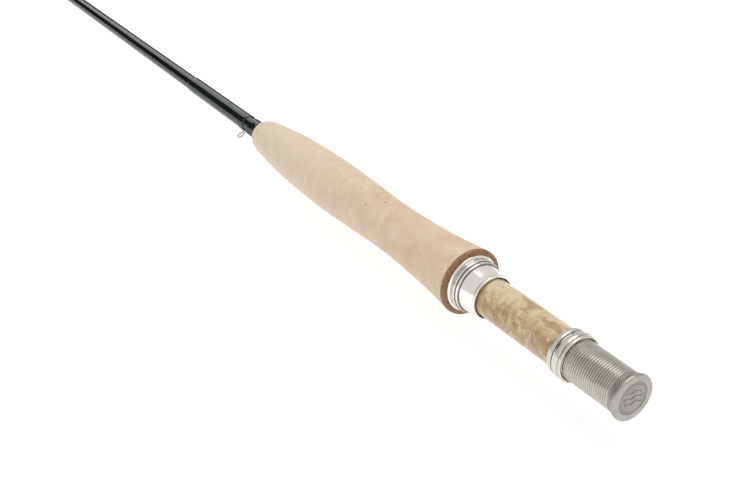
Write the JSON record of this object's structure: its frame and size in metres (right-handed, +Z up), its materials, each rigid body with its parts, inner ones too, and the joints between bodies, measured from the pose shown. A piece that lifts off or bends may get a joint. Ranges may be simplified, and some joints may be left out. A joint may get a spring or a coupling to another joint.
{
  "type": "fly fishing rod",
  "caption": "Four-section fly rod with an up-locking reel seat, burl insert, half-wells cork grip, hook keeper, lined stripping guide, snake guides and tip top, put together, without a reel.",
  "frame": {"origin": "centre of the butt cap's end face", "axes": "+X out of the butt cap, so the tip points to -X; guides hang towards -Z; +Z up"},
  "size_m": [2.2905, 0.03, 0.0371],
  "materials": {
    "satin_nickel_silver": "satin nickel silver",
    "bright_nickel_silver": "polished nickel silver",
    "burl_wood": "glossy lacquered burl",
    "arbor": "rigid foam arbor",
    "brown_trim": "dense rubberised cork",
    "cork": "sanded cork",
    "graphite_blank": "clear-coated carbon fibre",
    "thread_wrap": "dark thread under clear epoxy",
    "guide_wire": "bright stainless wire",
    "ceramic": "polished ceramic"
  },
  "bodies": {
    "root": {"butt_blank": "graphite_blank", "butt_cap": "satin_nickel_silver", "cap_medallion": "satin_nickel_silver", "check_ring": "bright_nickel_silver", "cork_ring_01": "cork", "cork_ring_02": "cork", "cork_ring_03": "cork", "cork_ring_04": "cork", "cork_ring_05": "cork", "cork_ring_06": "cork", "cork_ring_07": "cork", "cork_ring_08": "cork", "cork_ring_09": "cork", "cork_ring_10": "cork", "cork_ring_11": "cork", "cork_ring_12": "cork", "cork_ring_13": "cork", "cork_ring_14": "cork", "fixed_hood": "bright_nickel_silver", "hook_keeper": "guide_wire", "keeper_wrap": "thread_wrap", "seat_arbors": "arbor", "signature_wrap": "thread_wrap", "threaded_barrel": "satin_nickel_silver", "trim_ring": "brown_trim", "winding_check": "brown_trim", "wood_insert": "burl_wood"},
    "hood": {"slide_hood": "bright_nickel_silver"},
    "nut": {"lock_nut": "bright_nickel_silver"},
    "section_2": {"second_blank": "graphite_blank", "second_ferrule_wrap": "thread_wrap", "stripping_guide_frame": "guide_wire", "stripping_guide_liner": "ceramic", "stripping_guide_wraps": "thread_wrap", "snake_guide_1": "guide_wire", "guide_wraps_1": "thread_wrap"},
    "section_3": {"third_blank": "graphite_blank", "third_ferrule_wrap": "thread_wrap", "snake_guide_2": "guide_wire", "guide_wraps_2": "thread_wrap", "snake_guide_3": "guide_wire", "guide_wraps_3": "thread_wrap"},
    "section_4": {"tip_blank": "graphite_blank", "tip_ferrule_wrap": "thread_wrap", "snake_guide_4": "guide_wire", "guide_wraps_4": "thread_wrap", "snake_guide_5": "guide_wire", "guide_wraps_5": "thread_wrap", "snake_guide_6": "guide_wire", "guide_wraps_6": "thread_wrap", "snake_guide_7": "guide_wire", "guide_wraps_7": "thread_wrap", "tip_top_tube": "guide_wire", "tip_top_loop": "guide_wire", "tip_wrap": "thread_wrap"}
  },
  "joints": [
    {"name": "hood_slide", "type": "slide", "parent": "root", "child": "hood", "axis": [1, 0, 0], "range_m": [0, 0.0219]},
    {"name": "nut_turn", "type": "hinge", "parent": "hood", "child": "nut", "pos_m": [-0.0311, 0, 0], "axis": [1, 0, 0], "range_deg": [0, 6840]},
    {"name": "ferrule_1_slide", "type": "slide", "parent": "root", "child": "section_2", "axis": [-1, 0, 0], "range_m": [0, 0.06]},
    {"name": "ferrule_2_slide", "type": "slide", "parent": "section_2", "child": "section_3", "axis": [-1, 0, 0], "range_m": [0, 0.06]},
    {"name": "ferrule_3_slide", "type": "slide", "parent": "section_3", "child": "section_4", "axis": [-1, 0, 0], "range_m": [0, 0.06]}
  ],
  "couplings": [
    {"joint": "hood_slide", "follows": "nut_turn", "m_per_rad": 0.00018303}
  ]
}
